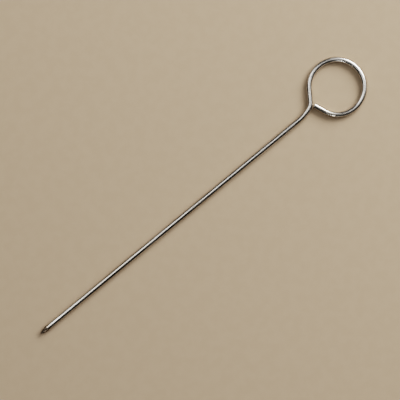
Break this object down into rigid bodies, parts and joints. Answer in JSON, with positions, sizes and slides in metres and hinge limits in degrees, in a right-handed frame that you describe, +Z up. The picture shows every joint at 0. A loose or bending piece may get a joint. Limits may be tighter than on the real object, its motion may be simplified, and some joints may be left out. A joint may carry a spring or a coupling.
{
  "type": "ring-ended wire pin",
  "caption": "Straight round-wire pin with a ground point at one end and the wire bent into an open finger ring at the other, lying flat.",
  "frame": {"origin": "on the surface that the pin lies on, midway along its length and midway across its ring", "axes": "+X along the pin from the point to the ring, +Y across the ring, +Z up, square to the plane that the wire is bent in"},
  "size_m": [0.15, 0.022, 0.002],
  "materials": {
    "bright_steel_wire": "bright drawn wire, smooth and shiny, slightly darkened at the ground point"
  },
  "bodies": {
    "root": {"wire_pin": "bright_steel_wire"}
  },
  "joints": []
}
